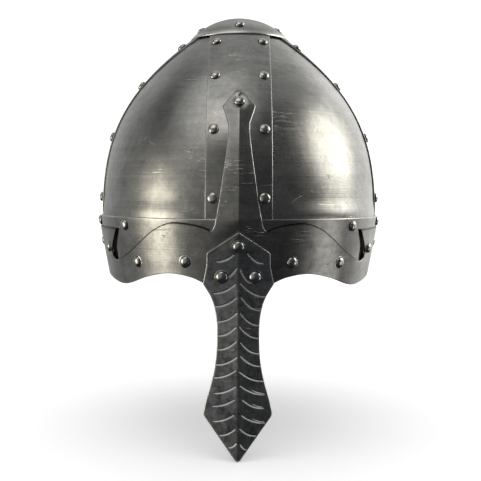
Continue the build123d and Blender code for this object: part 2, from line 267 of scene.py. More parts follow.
def evenly(loop, step):
    """A closed outline with a point every `step` millimetres or less, its corners kept."""
    result = []
    for a, b in zip(loop, loop[1:] + loop[:1]):
        parts = max(1, int(np.ceil(hypot(b[0] - a[0], b[1] - a[1]) / step)))
        result += [(a[0] + (b[0] - a[0]) * i / parts, a[1] + (b[1] - a[1]) * i / parts)
                   for i in range(parts)]
    return result


def fill_outline(loops, step, folds=()):
    """Triangles over a flat outline with holes: (points, triangles, distance to the edge).
    folds are lines (x at every y) that get a row of points along them."""
    loops = [evenly([tuple(p) for p in loop], min(1.2, step)) for loop in loops]
    edge_points = [p for loop in loops for p in loop]
    edges, start = [], 0
    for loop in loops:
        edges += [(start + i, start + (i + 1) % len(loop)) for i in range(len(loop))]
        start += len(loop)
    extra = []
    for loop in loops:
        a = np.asarray(loop)
        tangent = np.roll(a, -1, axis=0) - np.roll(a, 1, axis=0)
        tangent /= np.maximum(np.linalg.norm(tangent, axis=1, keepdims=True), 1e-9)
        side = np.stack([-tangent[:, 1], tangent[:, 0]], 1)
        for reach in EDGE_STEPS[1:]:
            for sign in (1, -1):
                ring = a + sign * reach * side
                keep = np.abs(loop_reach(ring, loops) - reach) < 0.02 * reach + 1e-4
                keep &= inside_loops(ring, loops)
                extra.append(ring[keep][::1 if reach < 1.5 else 2])
    corner = np.min(edge_points, axis=0)
    far = np.max(edge_points, axis=0)
    rows = np.arange(corner[1], far[1], step * sqrt(3) / 2)
    grid = [(x + (step / 2 if i % 2 else 0), y) for i, y in enumerate(rows)
            for x in np.arange(corner[0], far[0], step)]
    for x in folds:
        near = (0, 0.25, 0.7)
        grid = [p for p in grid if abs(p[0] - x) > near[-1] + step / 2]
        grid += [(x + s * n, y) for y in np.arange(corner[1], far[1], 0.7) for n in near
                 for s in ((1, -1) if n else (1,))]
    grid = np.asarray(grid)
    keep = inside_loops(grid, loops)
    grid = grid[keep]
    reach = loop_reach(grid, loops)
    grid = grid[(reach > EDGE_STEPS[-1] + step / 3) | ((reach > 0.4) & (len(folds) > 0)
                                                        & (np.abs(grid[:, 0]) < 0.8))]
    points = np.concatenate([np.asarray(edge_points)] + extra + [grid])
    result = delaunay_2d_cdt([Vector(p) for p in points], edges, [], 0, 1e-5)
    flat = np.array([tuple(v) for v in result[0]])
    triangles = np.array([f for f in result[2]])
    middle = flat[triangles].mean(1)
    triangles = triangles[inside_loops(middle, loops)]
    used = np.unique(triangles)
    renumber = np.full(len(flat), -1)
    renumber[used] = np.arange(len(used))
    flat, triangles = flat[used], renumber[triangles]
    a, b, c = flat[triangles[:, 0]], flat[triangles[:, 1]], flat[triangles[:, 2]]
    turned = (b - a)[:, 0] * (c - a)[:, 1] - (b - a)[:, 1] * (c - a)[:, 0] < 0
    triangles[turned] = triangles[turned][:, ::-1]
    return flat, triangles, loop_reach(flat, loops)


def sheet_from_outline(flat, triangles, outer, inner):
    """Points and faces of a closed sheet, its two faces mapped from one flat triangulation."""
    count = len(flat)
    points = np.concatenate([outer, inner])
    faces = [tuple(int(v) for v in t) for t in triangles]
    faces += [tuple(int(count + v) for v in reversed(t)) for t in triangles]
    directed = {}
    for t in triangles:
        for a, b in ((t[0], t[1]), (t[1], t[2]), (t[2], t[0])):
            directed[(int(a), int(b))] = True
    for a, b in directed:
        if (b, a) not in directed:
            faces.append((b, a, count + a, count + b))
    return points, faces


def curve(points, steps=10):
    """A smooth line through the points, with `steps` points to each span."""
    p = [np.asarray(q, float) for q in points]
    p = [2 * p[0] - p[1]] + p + [2 * p[-1] - p[-2]]
    result = []
    for a, b, c, d in zip(p, p[1:], p[2:], p[3:]):
        for i in range(steps):
            t = i / steps
            result.append(tuple(0.5 * (2 * b + (c - a) * t + (2 * a - 5 * b + 4 * c - d) * t * t
                                       + (3 * b - a - 3 * c + d) * t ** 3)))
    return result + [tuple(p[-2])]


def rounded_corner(a, corner, b, radius, steps=5):
    """Points that round a corner between two straight runs."""
    a, corner, b = (np.asarray(v, float) for v in (a, corner, b))
    u, v = a - corner, b - corner
    u, v = u / np.linalg.norm(u) * radius, v / np.linalg.norm(v) * radius
    return [tuple(corner + u * (1 - t) ** 2 + v * t ** 2) for t in np.linspace(0, 1, steps + 1)]


# ---- Materials ----

def add_node(tree, kind, inputs=(), **settings):
    """A new node. An input is linked when it is given a socket, and set to any other value."""
    node = tree.nodes.new(kind)
    for key, value in settings.items():
        setattr(node, key, value)
    for key, value in dict(inputs).items():
        if isinstance(value, bpy.types.NodeSocket):
            tree.links.new(value, node.inputs[key])
        else:
            node.inputs[key].default_value = value
    return node


class Nodes:
    """Short calls for building a material."""

    def __init__(self, name):
        self.material = bpy.data.materials.new(name)
        self.material.use_nodes = True
        self.tree = self.material.node_tree
        self.shader = self.tree.nodes["Principled BSDF"]
        self.place = self.add("ShaderNodeTexCoord").outputs["Object"]

    def add(self, kind, inputs=(), **settings):
        return add_node(self.tree, kind, inputs, **settings)

    def scaled(self, scale, shift=(0, 0, 0)):
        return self.add("ShaderNodeMapping", {"Vector": self.place, "Scale": scale,
                                              "Location": shift}).outputs["Vector"]

    def noise(self, scale, detail=4, rough=0.55, stretch=(1, 1, 1), shift=(0, 0, 0), twist=0):
        vector = self.scaled(tuple(scale * s for s in stretch), shift)
        return self.add("ShaderNodeTexNoise", {"Vector": vector, "Scale": 1.0, "Detail": detail,
                                               "Roughness": rough, "Distortion": twist}).outputs["Fac"]

    def remap(self, value, low, high, to_low=0.0, to_high=1.0):
        return self.add("ShaderNodeMapRange", {"Value": value, "From Min": low, "From Max": high,
                                               "To Min": to_low, "To Max": to_high}).outputs["Result"]

    def math(self, operation, a, b=0.0):
        return self.add("ShaderNodeMath", {0: a, 1: b}, operation=operation).outputs[0]

    def thin_line(self, field, width):
        """1 where a field crosses its middle value, falling to 0 within `width` of it."""
        off = self.math("ABSOLUTE", self.math("SUBTRACT", field, 0.5))
        return self.remap(off, 0.0, width, 1.0, 0.0)

    def mix(self, share, a, b):
        """A mix of two colours, each a socket or (red, green, blue)."""
        a, b = (v if isinstance(v, bpy.types.NodeSocket) else (*v, 1) for v in (a, b))
        return self.add("ShaderNodeMix", {0: share, 6: a, 7: b}, data_type="RGBA").outputs[2]

    def attribute(self, name):
        return self.add("ShaderNodeAttribute", attribute_name=name).outputs["Fac"]

    def bump(self, height, distance, strength=1.0, under=None):
        inputs = {"Height": height, "Distance": distance, "Strength": strength}
        if under is not None:
            inputs["Normal"] = under
        return self.add("ShaderNodeBump", inputs).outputs["Normal"]

    def link(self, value, socket):
        self.tree.links.new(value, self.shader.inputs[socket])


# Scratches on the dome: (middle, from the middle to the centre of its arc, length), millimetres
SCRATCHES = [
    ((37, -110, 56.5), (14, 0, -20), 13), ((58, -97, 53), (0, 0, 45), 19),
    ((-53, -97, 73.5), (3, 0, -60), 9), ((-50, -98, 75.2), (-4, 0, -70), 6),
    ((-58, -88, 93), (20, 0, 30), 11), ((-64, -84, 96), (-25, 0, 24), 7),
    ((47, -91, 107), (-10, 0, -14), 9), ((51, -88, 103), (12, 0, -9), 7),
    ((60, 92, 70), (18, 0, 40), 14), ((-44, 96, 95), (-12, 0, 30), 10),
]


def arc_scratches(n):
    """Thin lines where spheres cut the surface, each kept to a short length."""
    total = None
    for middle, bend, length in SCRATCHES:
        middle, bend = Vector(middle) * MM, Vector(bend) * MM
        far = n.add("ShaderNodeVectorMath", {0: n.place, 1: middle + bend}, operation="DISTANCE")
        off = n.math("ABSOLUTE", n.math("SUBTRACT", far.outputs["Value"], bend.length))
        near = n.add("ShaderNodeVectorMath", {0: n.place, 1: middle}, operation="DISTANCE")
        line = n.math("MULTIPLY", n.remap(off, 0.00012, 0.00030, 1.0, 0.0),
                      n.remap(near.outputs["Value"], length * MM * 0.32, length * MM * 0.5, 1.0, 0.0))
        total = line if total is None else n.math("MAXIMUM", total, line)
    return total


# the third colour is the painted highlight of the chased strokes
BRIGHT_SCRATCH, RUBBED, CHASED_HIGHLIGHT = (0.80, 0.79, 0.75), (0.86, 0.85, 0.81), (0.90, 0.89, 0.83)
# near black, for painted shade in gaps, seams and corners
PAINTED_SHADE = (0.012, 0.012, 0.012)


def fine_scratches(n, shift, seed):
    """Level and slanted hair lines, each kept to patches."""
    field = n.noise(1.0, 2, 0.5, (26, 26, 260), shift, 0.6)
    where = n.remap(n.noise(34.0, 3, 0.5, (1, 1, 1), (seed + 3, 1, 2)), 0.56, 0.66)
    level = n.math("MULTIPLY", n.thin_line(field, 0.006), where)
    slanted = n.add("ShaderNodeMapping", {"Vector": n.place, "Rotation": (0.5, 0.95, 0.4),
                                          "Scale": (18, 18, 210), "Location": shift}).outputs[0]
    field = n.add("ShaderNodeTexNoise", {"Vector": slanted, "Scale": 1.0, "Detail": 1.0}).outputs["Fac"]
    where = n.remap(n.noise(40.0, 3, 0.5, (1, 1, 1), (seed + 9, 4, 7)), 0.60, 0.68)
    return n.math("MAXIMUM", level, n.math("MULTIPLY", n.thin_line(field, 0.005), where))


def steel(name, dark, light, rough=0.34, patina=0.5, seed=0.0, chased=False, brushing=1.0,
          scratched=False, mottle=0.6):
    """Antiqued steel: a blackened skin rubbed back by level brushing, bright where it wears, with
    painted shade where the per-point value is below zero.
    """
    n = Nodes(name)
    shift = (seed, seed * 1.7, seed * 0.6)

    def about_middle(field, weight):
        return n.math("MULTIPLY", n.math("SUBTRACT", field, 0.5), weight)

    streaks = n.noise(1.0, 5, 0.65, (9, 9, 1500), shift)
    broad = n.noise(1.0, 4, 0.6, (5, 5, 190), shift, 0.4)
    clouds = n.noise(16.0, 8, 0.6, (1, 1, 1), shift, 0.8)
    smudge = n.noise(52.0, 6, 0.65, (1, 1, 1.4), shift, 1.2)
    blots = n.noise(240.0, 6, 0.7, (1, 1, 0.7), shift, 0.6)
    specks = n.noise(620.0, 3, 0.6, (1, 1, 1), shift)
    scratches = fine_scratches(n, shift, seed)
    if scratched:
        scratches = n.math("MAXIMUM", scratches, arc_scratches(n))

    tone = n.remap(clouds, 0.32, 0.68)
    tone = n.math("ADD", tone, n.math("MULTIPLY", n.remap(smudge, 0.3, 0.7), 0.6))
    tone = n.math("MULTIPLY", tone, 0.62)
    tone = n.math("ADD", n.math("MULTIPLY", tone, patina), 1 - patina)
    for field, weight in ((broad, 0.36 * brushing), (streaks, 0.30 * brushing), (blots, mottle)):
        tone = n.math("ADD", tone, about_middle(field, weight))
    tone = n.math("SUBTRACT", tone, n.remap(specks, 0.64, 0.78, 0.0, 0.45))
    tone = n.remap(tone, 0.0, 1.0)
    colour = n.mix(tone, dark, light)
    colour = n.mix(n.math("MULTIPLY", scratches, 0.55), colour, BRIGHT_SCRATCH)
    wear_and_shade = n.attribute("wear_and_shade")
    rub = n.math("MULTIPLY", n.remap(wear_and_shade, 0.0, 1.0), n.remap(smudge, 0.25, 0.6, 0.5, 1.0))
    colour = n.mix(rub, colour, RUBBED)
    # painted shade: below zero the per-point value darkens the colour towards black
    colour = n.mix(n.remap(wear_and_shade, 0.0, -1.0), colour, PAINTED_SHADE)
    # painted highlight: the chased strokes are coloured bright and made less metallic
    if chased:
        cut = n.attribute("chased")
        colour = n.mix(cut, colour, CHASED_HIGHLIGHT)
        n.link(n.remap(cut, 0.0, 1.0, 1.0, 0.62), "Metallic")
    else:
        n.shader.inputs["Metallic"].default_value = 1.0
    n.link(colour, "Base Color")
    gloss = n.remap(tone, 0.0, 1.0, rough + 0.07, rough - 0.05)
    gloss = n.math("ADD", gloss, about_middle(streaks, 0.16))
    n.link(n.math("ADD", gloss, about_middle(smudge, 0.12)), "Roughness")
    low = n.bump(clouds, 0.0012, 0.16)
    fine = n.bump(streaks, 0.00006, 0.8 * brushing, low)
    n.link(n.bump(n.math("MULTIPLY", scratches, -1.0), 0.00008, 0.8, fine), "Normal")
    return n.material


def leather(name, dark, light, seed=0.0):
    n = Nodes(name)
    shift = (seed, seed, seed)
    clouds = n.noise(24.0, 6, 0.6, (1, 1, 1), shift, 0.6)
    cells = n.add("ShaderNodeTexVoronoi", {"Vector": n.scaled((1, 1, 1), shift), "Scale": 760.0,
                                           "Randomness": 1.0}, feature="DISTANCE_TO_EDGE")
    crease = n.remap(cells.outputs["Distance"], 0.0, 0.16)
    fold = n.noise(140.0, 5, 0.65, (1, 1, 1), shift, 1.6)
    tone = n.math("MULTIPLY", n.remap(clouds, 0.3, 0.7), n.remap(crease, 0.0, 1.0, 0.75, 1.0))
    colour = n.mix(tone, dark, light)
    colour = n.mix(n.math("MULTIPLY", n.attribute("wear_and_shade"), 0.6), colour, [v * 0.35 for v in dark])
    n.link(colour, "Base Color")
    n.link(n.remap(fold, 0.3, 0.7, 0.46, 0.66), "Roughness")
    n.shader.inputs["Specular IOR Level"].default_value = 0.4
    grain = n.bump(crease, 0.00022, 0.55)
    n.link(n.bump(fold, 0.0006, 0.30, grain), "Normal")
    return n.material


DOME_STEEL = steel("dome steel", (0.036, 0.036, 0.035), (0.50, 0.495, 0.465), 0.31, 0.5, 0.0,
                   scratched=True)
BAND_STEEL = steel("band steel", (0.026, 0.026, 0.026), (0.44, 0.435, 0.41), 0.31, 0.55, 2.3,
                   mottle=0.7)
PLATE_STEEL = steel("plate steel", (0.022, 0.022, 0.023), (0.45, 0.445, 0.42), 0.31, 0.55, 4.1,
                    mottle=0.8)
CAP_STEEL = steel("cap steel", (0.07, 0.07, 0.068), (0.44, 0.435, 0.41), 0.34, 0.5, 5.9)
NASAL_STEEL = steel("nasal steel", (0.007, 0.008, 0.011), (0.50, 0.505, 0.50), 0.34, 0.8, 7.7,
                    chased=True, mottle=1.6)
RIVET_STEEL = steel("rivet steel", (0.045, 0.045, 0.045), (0.56, 0.55, 0.52), 0.25, 0.45, 9.2,
                    brushing=0.3, mottle=0.8)
LINER_LEATHER = leather("liner leather", (0.035, 0.019, 0.010), (0.115, 0.062, 0.032))
THREAD = leather("waxed thread", (0.16, 0.12, 0.075), (0.34, 0.27, 0.17), 6.0)
DISC_LEATHER = leather("disc leather", (0.022, 0.013, 0.008), (0.080, 0.044, 0.024), 4.0)


# ---- Dome plates, bands and cap ----

def dome_plate(side, face):
    """One of four dome plates, its edges hidden under the bands, the brow band and the cap."""
    name = f"dome_plate_{'front' if face < 0 else 'rear'}_{'left' if side > 0 else 'right'}"
    levels = np.concatenate([np.linspace(DOME_PLATE_FOOT, 52, 12), np.linspace(55, 176, 46),
                             [180, SHELL_TOP]])
    across = edged(0, 100, 2.2) / 100
    first = np.arcsin(SEAM_HALF_GAP / dome_half_width(levels))
    last = pi / 2 - np.arcsin(SEAM_HALF_GAP / (dome_half_width(levels) * length_ratio(levels)))
    turn = first[:, None] + (last - first)[:, None] * across[None]
    z = np.broadcast_to(levels[:, None], turn.shape).copy()
    if face < 0:
        # the foot rises over the hole behind the strap slot
        lift = smooth(np.degrees(turn), 47, 51.5) * (1 - smooth(np.degrees(turn), 61.5, 65))
        z += lift * 8.2 * (1 - smooth(z, DOME_PLATE_FOOT, 52))
    reach_front = dome_half_width(z) * np.sin(turn)
    reach_side = dome_half_width(z) * length_ratio(z) * np.cos(turn)
    clear = smooth(np.minimum(reach_front, reach_side), BAND_HALF_WIDTH + 1, BAND_HALF_WIDTH + 11)
    flare = 1.3 * clear * (1 - smooth(z, 43.5, 58))
    if face > 0:
        turn = pi - turn
    turn = turn * side
    base = surface(turn, z, 0)
    waves = dents(base, (0.20, 34, 3 + side + 2 * face), (0.085, 13, 8 + side)) * smooth(z, 40, 60)
    outer = surface(turn, z, DOME_PLATE[1] + flare + waves)
    inner = surface(turn, z, DOME_PLATE[0] + flare + waves)
    points, faces = sheet_from_grid(outer, inner, flip=side * face > 0)
    return make_object("visible_" + name, points, faces, DOME_STEEL, [name], [0])


def vertical_band(quarter, label):
    """A band from the brow to the cap. The front one has a finer grid, for its marks."""
    front = quarter == 0
    foot, step, top_levels = (FRONT_BAND_FOOT, 1.0, 16) if front else (BAND_FOOT, 2.4, 8)
    levels = np.concatenate([np.arange(foot, 172, step), np.linspace(172, SHELL_TOP, top_levels)])
    half_width = dome_half_width(levels) * (length_ratio(levels) if quarter % 2 else 1)
    half = np.minimum(BAND_HALF_WIDTH, half_width / sqrt(2) - 0.2)
    share = edged(-BAND_HALF_WIDTH, BAND_HALF_WIDTH, min(step, 2.2)) / BAND_HALF_WIDTH
    reach = half[:, None] * share[None]
    z = np.broadcast_to(levels[:, None], reach.shape)
    turn = turn_at(reach, z, quarter)
    edge = BAND_HALF_WIDTH * (1 - np.abs(share))[None] + 0 * reach
    base = surface(turn, z, 0)
    waves = dents(base, (0.10, 26, 20 + quarter), (0.05, 11, 30 + quarter)) * smooth(z, 46, 60)
    wobble = 0.16 * ripple(np.stack([z * 0 + quarter * 50, np.sign(reach) * 40, z], -1), 17, 41)
    turn = turn_at(reach + wobble * smooth(np.abs(share), 0.8, 1.0)[None], z, quarter)
    waves = waves * smooth(edge, 0, 4)
    if front:
        # a round mark from a slipped punch, and a shallow crease below it
        away = np.hypot(reach - 4.5, (z - 162.5) * 1.25)
        waves = waves - 0.10 * np.exp(-((away - 2.6) / 0.8) ** 2)
        waves = waves - 0.10 * np.exp(-((z - 153.5 - 0.05 * reach) / 1.1) ** 2) * smooth(reach, -2, 3)
    outer = surface(turn, z, BAND[1] + waves - rounding(edge))
    inner = surface(turn, z, BAND[0] + waves)
    points, faces = sheet_from_grid(outer, inner)
    wear_and_shade = np.exp(-edge / WORN_EDGE) * 0.95
    # painted shade on each band just under the cap's rim
    wear_and_shade = (wear_and_shade - 2 * smooth(z, 173.4, 174.6)).clip(-1, 1)
    return make_object(f"visible_{label}_band", points, faces, BAND_STEEL,
                       [f"{label}_band"], wear_and_shade)


def crown_cap():
    """A dished cap, cut from a sphere."""
    rim = sqrt(CAP_RADIUS ** 2 - (CAP_RIM - CAP_CENTRE) ** 2) + 0.8
    lip = np.array([2.6, 1.9, 1.3, 0.8, 0.45, 0.2, 0.05, 0])
    reach = np.concatenate([np.linspace(0.6, rim - 3.4, 26), rim - lip])
    height = CAP_CENTRE + np.sqrt(CAP_RADIUS ** 2 - reach ** 2)
    r, t = np.meshgrid(reach, np.linspace(0, 2 * pi, 120, endpoint=False), indexing="ij")
    x, y = r * np.sin(t), -r * np.cos(t)
    base = np.stack([x, y, np.broadcast_to(height[:, None], r.shape)], -1)
    waves = dents(base, (0.14, 16, 51), (0.05, 7, 52))
    edge = rim - r
    top = height[:, None] + waves * smooth(edge, 0, 5) - rounding(edge, 0.4) - 0.1
    under = top + rounding(edge, 0.4) - CAP_THICKNESS * np.sqrt(1 + (r / CAP_RADIUS) ** 2)
    points, faces = dish_from_rings(np.stack([x, y, top], -1), np.stack([x, y, under], -1), 0.01)
    wear_and_shade = np.exp(-(edge / 2.0) ** 2)
    return make_object("visible_crown_cap", points, faces, CAP_STEEL, ["crown_cap"], wear_and_shade)


# ---- Brow band, front plate and liner headband: cut from flat outlines ----

FLAT_RADIUS = 108.0
# the brow band and the headband end here, at the middle of the back
SHEET_END = pi * FLAT_RADIUS - 0.3


def flat_x(reach, z, offset):
    """How far along the flat sheet a point is that stands `reach` to the side of the middle."""
    return asin(min(reach / (float(dome_half_width(z)) + offset), 1)) * FLAT_RADIUS


def flat_y(depth, z, offset):
    """The same for a point that stands at Y = depth."""
    length = float(dome_half_width(z) * length_ratio(z)) + offset
    return acos(min(max(-depth / length, -1), 1)) * FLAT_RADIUS


def arches(rise, offset):
    """The lower edge from the middle to the side: two points, the eye arch and the lobe."""
    line = curve([(20, 1), (31, 5.9), (46.5, 7.8), (62, 4), (74, -1.4), (81, -3.0), (88, -2.0),
                  (95, 0)])
    return [(0, 1 + rise)] + [(flat_x(x, z, offset), z + rise) for x, z in line]


def strap_slot(offset):
    """The crescent hole for a chin strap, from its outline in Y and Z."""
    rear = curve([(-72.6, 35.9), (-68.6, 33.2), (-64.2, 29.6), (-60.3, 26.2), (-56.5, 22.4),
                  (-54.2, 18.6), (-54.9, 15.4), (-57.6, 14.0)], 5)
    front = curve([(-57.6, 14.0), (-61.0, 14.4), (-62.5, 17.5), (-63.6, 22), (-66.0, 26.4),
                   (-69.2, 30.8), (-72.6, 35.9)], 5)
    return [(flat_y(y, z, offset), z) for y, z in rear[:-1] + front[:-1]]


def relief_slot(offset):
    """The wider hole behind the strap slot: two half rounds and the runs between them."""
    (y, z), lean, reach, half = (-64, 25.2), radians(-54.5), 9.3, 5.7
    points = []
    for end in (1, -1):
        for a in np.linspace(-pi / 2, pi / 2, 13):
            u = end * (reach + half * cos(a))
            v = end * half * sin(a)
            points.append((y + u * cos(lean) - v * sin(lean), z + u * sin(lean) + v * cos(lean)))
    return [(flat_y(a, b, offset), b) for a, b in points]


def mirrored(line):
    return [(-x, z) for x, z in line]


def both_halves(half):
    """A closed outline from its left half, which starts and ends on the middle line."""
    return half + mirrored(half[1:-1])[::-1]


def sheet_places(flat):
    """The turn, the height and the place on the surface of each point of a flat sheet."""
    turn, z = flat[:, 0] / FLAT_RADIUS, flat[:, 1]
    return turn, z, surface(turn, z, 0)


def brow_band():
    offset, end = BROW_BAND[1], SHEET_END
    half = [(x, max(z, 0)) for x, z in arches(2.5, offset)]
    half += rounded_corner((half[-1][0], 0), (end, 0), (end, BROW_TOP), 1.5)
    half += rounded_corner((end, 0), (end, BROW_TOP), (0, BROW_TOP), 1.5)
    outline = half + mirrored(half[1:])[::-1]
    slot = strap_slot(offset)
    flat, triangles, edge = fill_outline([outline, slot, mirrored(slot)[::-1]], 3.0)
    turn, z, base = sheet_places(flat)
    waves = dents(base, (0.09, 24, 61), (0.05, 10, 62)) * smooth(edge, 0.5, 6)
    outer = surface(turn, z, BROW_BAND[1] - rounding(edge) + waves)
    inner = surface(turn, z, BROW_BAND[0] + waves)
    points, faces = sheet_from_outline(flat, triangles, outer, inner)
    wear_and_shade = np.exp(-edge / WORN_EDGE)
    # painted shade in a thin ring round each strap slot
    shaded_slot_rim = loop_reach(flat, [slot, mirrored(slot)]) < 0.35
    wear_and_shade[shaded_slot_rim] = -1
    wear_and_shade = np.concatenate([wear_and_shade, np.where(shaded_slot_rim, -1, 0)])
    return make_object("visible_brow_band", points, faces, BAND_STEEL,
                       ["brow_band"], wear_and_shade)


BLADE_RIVET_Z = 119.2
BLADE_WIDTHS = {36: 17, 46: 14.3, 60: 12, 70: 10.7, 85: 8.6, 98: 7.2, 105: 7.2, 116.5: 11, 128: 2.5}


def front_plate():
    """The outermost plate. Above the brow band it steps in and becomes the ridged blade."""
    offset = FRONT_PLATE[1]
    end = acos(-38 / (float(dome_half_width(20.0)) * BROW_LENGTH_RATIO)) * FLAT_RADIUS
    lower = arches(0, offset)
    rear = rounded_corner((lower[-1][0], 0), (end, 0), (end, PLATE_TOP), 3)
    rear += rounded_corner((end, 0), (end, PLATE_TOP), (100, PLATE_TOP), 3)
    notch = curve([(84.4, PLATE_TOP), (86.6, 30), (88.5, 24.5), (89.4, 19.5), (88.3, 15.2),
                   (85.6, 13.5), (82.6, 14.5), (80, 16.6)], 5)
    brow = curve([(80, 16.6), (71.6, 23), (64.4, 29.7), (57.5, 35.5), (51.4, 39), (46, 41), (40, 41.5),
                  (31, 40.7), (23, 38.9), (17.6, 36.7)], 4)
    flank = curve([(16.6, 37.2), (15.1, 41), (14.3, 46), (12, 60), (10.7, 69.8), (8.6, 85), (7.2, 98),
                   (7.2, 105)], 4)
    tip = [(7.2, 105), (11, 116.5), (2.2, 127.6), (0, 128)]
    upper = notch[:-1] + brow + flank[:-1] + tip
    half = lower + rear + [(flat_x(x, z, offset), z) for x, z in upper]
    flat, triangles, edge = fill_outline([both_halves(half)], 2.4, folds=(0.0,))
    turn, z, base = sheet_places(flat)
    side = np.abs(base[:, 0])
    blade_half = np.interp(z, list(BLADE_WIDTHS), list(BLADE_WIDTHS.values()))
    peak = 2.1 * smooth(z, 28, 50) * (1 - 0.7 * smooth(z, 122, 128))
    near_rivet = 1 - smooth(np.hypot(side, z - BLADE_RIVET_Z), 3.0, 6.0)
    peak = peak * (1 - 0.85 * near_rivet)
    ridge = peak * np.clip(1 - side / blade_half, 0, 1)
    step_in = (FRONT_PLATE[1] - BLADE[1]) * smooth(z, 44.0, 47.5)
    waves = dents(base, (0.08, 22, 71), (0.05, 9, 72)) * smooth(edge, 0.5, 5)
    outer = surface(turn, z, FRONT_PLATE[1] - step_in + ridge + waves - rounding(edge))
    inner = surface(turn, z, FRONT_PLATE[0] - step_in + ridge * 0.9 + waves)
    points, faces = sheet_from_outline(flat, triangles, outer, inner)
    # bright worn edges, but a painted shadow along the eyebrow edges, where the plate lies on the brow
    # band
    wear_and_shade = np.exp(-edge / WORN_EDGE)
    painted_seam_shadow = smooth(z, 13.0, 15.5) * (1 - smooth(z, 42.5, 44.5)) * smooth(side, 16.5, 18)
    wear_and_shade = wear_and_shade * (1 - painted_seam_shadow) - painted_seam_shadow * np.exp(-(edge / 0.85) ** 4)
    wear_and_shade = np.minimum(wear_and_shade + 0.2 * smooth(z, 44, 60) * np.exp(-side / 0.35), 1)
    return make_object("visible_front_plate", points, faces, PLATE_STEEL,
                       ["front_plate"], wear_and_shade)


# ---- Nose guard ----

NASAL_THICKNESS = 1.3
RIDGE_TOP, RIDGE_BEND = (36, -124.4), (1, -116.9)
NASAL_TIP = -113.8
ARC_TOP, ARC_PITCH, ARC_COUNT = 21.5, 9.5, 14
# half widths of the nose guard, as (z, x)
NASAL_EDGE = [(35.6, 0), (22.1, 20.3), (13.5, 20.4), (2, 22.9), (-7.7, 17.3), (-17.5, 14.6),
              (-28.8, 13.7), (-45, 14.2), (-58.5, 16.3), (-73.4, 20.4), (-83.4, 22.6), (NASAL_TIP, 0)]


def nasal_outline():
    """The wearer's left edge from the top point to the tip, as (x, z)."""
    flank = curve([(22.9, 2), (17.3, -7.7), (14.6, -17.5), (13.7, -28.8), (14.2, -45), (16.3, -58.5),
                   (20.4, -73.4)], 6)
    widest = rounded_corner((20.4, -73.4), (22.7, -83.6), (0, NASAL_TIP), 2.2)
    shoulder = rounded_corner((0, 35.6), (20.3, 22.1), (20.4, 13.5), 1.2)
    tip = rounded_corner((22.7, -83.6), (0, NASAL_TIP - 1.6), (-22.7, -83.6), 4.0, 12)[:7]
    return [(0, 35.6)] + shoulder + [(20.5, 13.5)] + flank + widest + tip[:-1] + [(0, tip[-1][1])]


def arc_depths(x, z):
    """How deep the chased strokes are at each point, from 0 to 1. Each has a steep upper wall."""
    depth = np.zeros_like(x)

    def stroke(side, top, start, stop, drop, width):
        share = (x * side - start) / (stop - start)
        inside = np.clip(share, 0, 1)
        line = top - drop * (1 - (1 - inside) ** 2.1)
        slope = drop * 2.1 * (1 - inside) ** 1.1 / (stop - start)
        across = (line - z) / np.sqrt(1 + slope ** 2)
        past = (np.clip(-share, 0, None) + np.clip(share - 1, 0, None)) * (stop - start)
        width = width * (0.5 + 0.5 * np.sin(pi * np.clip(0.15 + 0.75 * inside, 0, 1)))
        wall = np.where(across > 0, across / width, -across / (0.45 * width))
        np.maximum(depth, np.clip(1 - np.hypot(wall, past / 0.5), 0, 1), out=depth)

    for number in range(ARC_COUNT):
        for side in (-1, 1):
            top = ARC_TOP - ARC_PITCH * number + 0.5 * sin(number * 2.7 + side)
            drop = 9.4 - 0.36 * number if side > 0 else 6.6 - 0.19 * number
            drop *= 0.68 if number in (0, ARC_COUNT - 1) else 1
            reach = np.interp(top - drop, *zip(*sorted(NASAL_EDGE)))
            start = 1.5 + 0.5 * sin(number * 1.9 + 2 * side)
            stop = min(reach - 0.7, 16.5 + 0.5 * side + 0.5 * sin(number * 4.1 + side))
            if number == 0:
                start, stop = 4.6 + 1.3 * side, 14.8 + 0.8 * side
            if number == 1:
                stop = 9.0
            if number in (10, 11):
                start += 1.3
            stroke(side, top, start, stop, drop, 0.92)
            if side > 0 and 8 < number < 12:
                middle = (start + stop) / 2
                stroke(side, top - 0.72 * drop + 1.5, middle, stop - 0.6, 0.28 * drop + 0.6, 0.7)
    return depth


def nasal_ridge(z):
    lean = (RIDGE_TOP[1] - RIDGE_BEND[1]) / (RIDGE_TOP[0] - RIDGE_BEND[0])
    straight = z - RIDGE_BEND[0]
    bend = 7.0
    return RIDGE_BEND[1] + lean * 0.5 * (straight + np.sqrt(straight ** 2 + bend ** 2))


